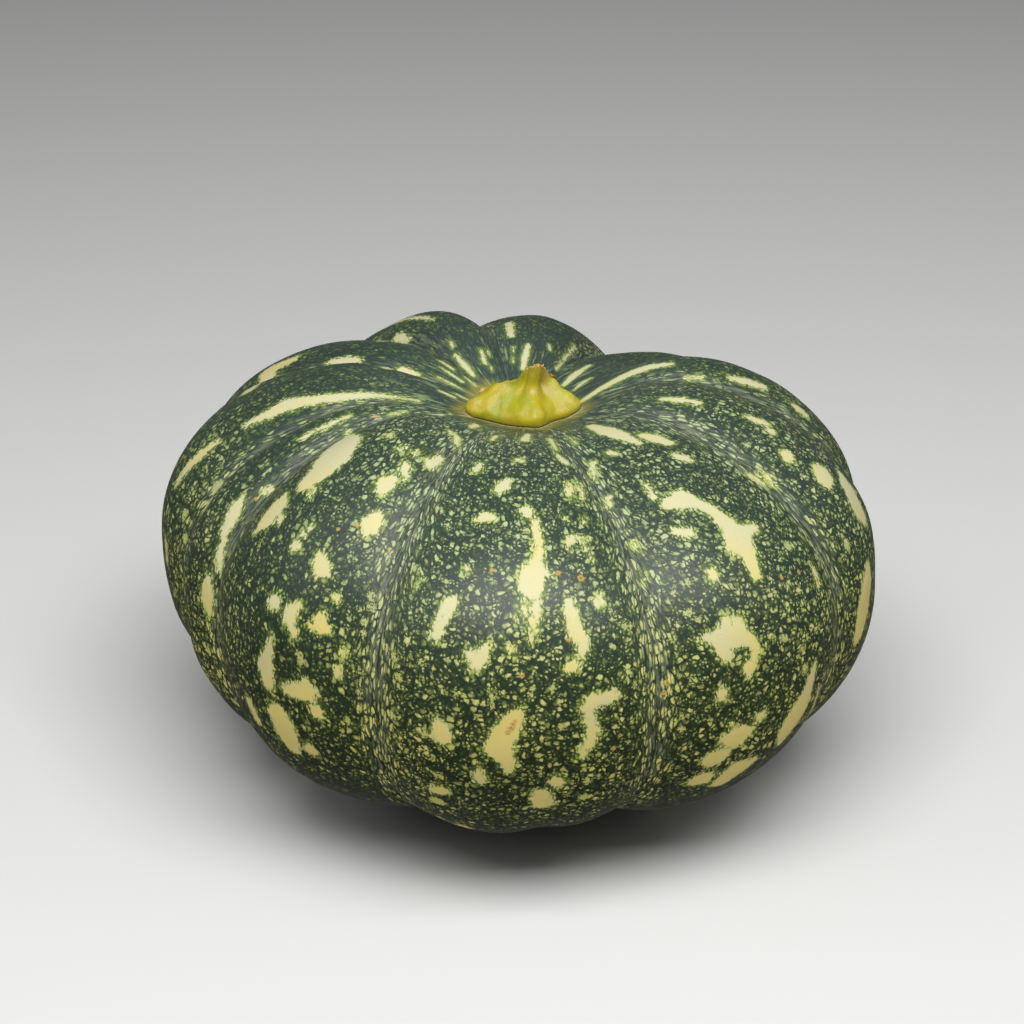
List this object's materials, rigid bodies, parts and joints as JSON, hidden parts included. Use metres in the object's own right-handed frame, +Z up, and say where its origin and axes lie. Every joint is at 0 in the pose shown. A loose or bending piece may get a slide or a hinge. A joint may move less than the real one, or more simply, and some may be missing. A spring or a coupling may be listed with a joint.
{
  "type": "pumpkin",
  "caption": "Squat ribbed pumpkin with a mottled green rind, a deep stem pit and a torn five-cornered stem, lying as picked.",
  "frame": {"origin": "middle of the fruit's box, on the surface that it rests on", "axes": "+Z up along the stem, -Y the side seen in the picture, +X to that view's right"},
  "size_m": [0.2344, 0.2367, 0.1387],
  "materials": {
    "rind": "waxy dark green rind, netted with pale yellow-green flecks and cream blotches",
    "stem": "firm yellow-green stem, satin, with tan torn edges"
  },
  "bodies": {
    "root": {"fruit": "rind", "stem": "stem"}
  },
  "joints": []
}
